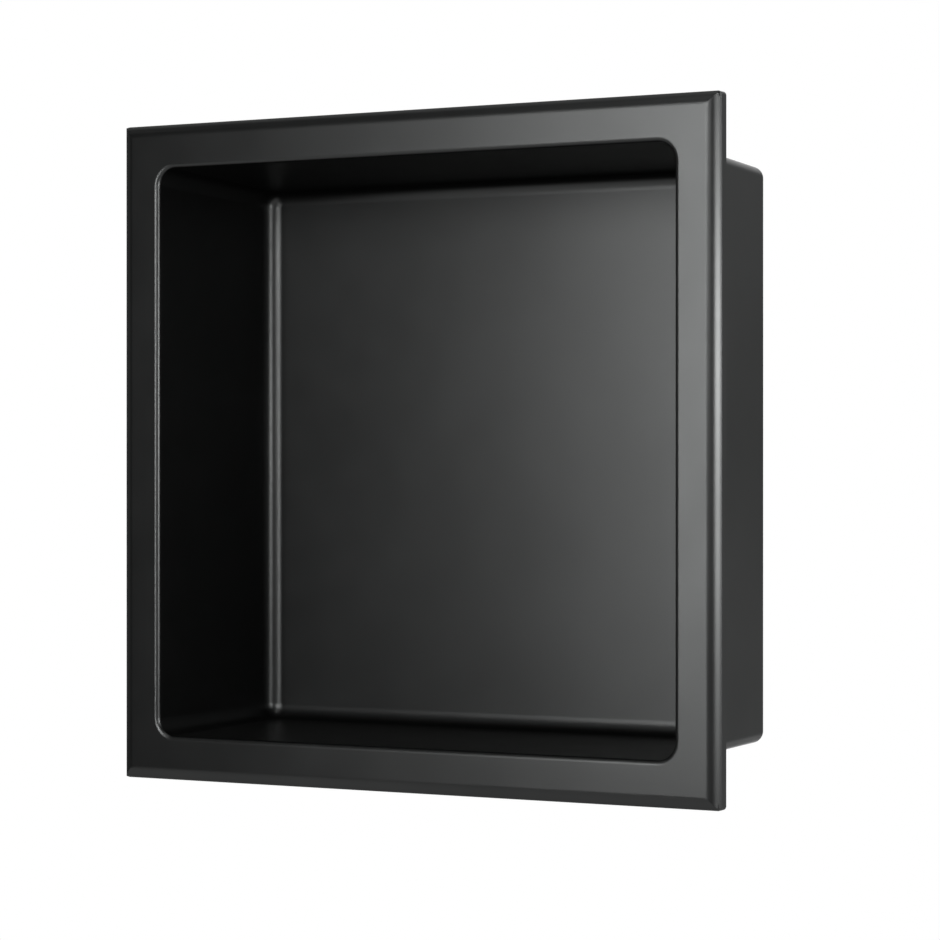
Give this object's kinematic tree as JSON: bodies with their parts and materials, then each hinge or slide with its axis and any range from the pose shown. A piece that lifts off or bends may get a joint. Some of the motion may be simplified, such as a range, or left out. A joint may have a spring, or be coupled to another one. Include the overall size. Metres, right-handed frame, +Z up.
{
  "type": "shower niche insert",
  "caption": "Square recessed shower niche: a shallow sheet-metal box with rounded corners behind a flat face flange with a rounded rim and return lip, finished satin black.",
  "frame": {"origin": "centre of the plane of the flange lip's rear edge, where the flange meets the finished wall", "axes": "+Z up, -Y out of the open front into the room, +Y into the wall"},
  "size_m": [0.305, 0.0982, 0.305],
  "materials": {
    "coated_steel": "satin black coating on stainless steel sheet"
  },
  "bodies": {
    "root": {"niche_insert": "coated_steel"}
  },
  "joints": []
}
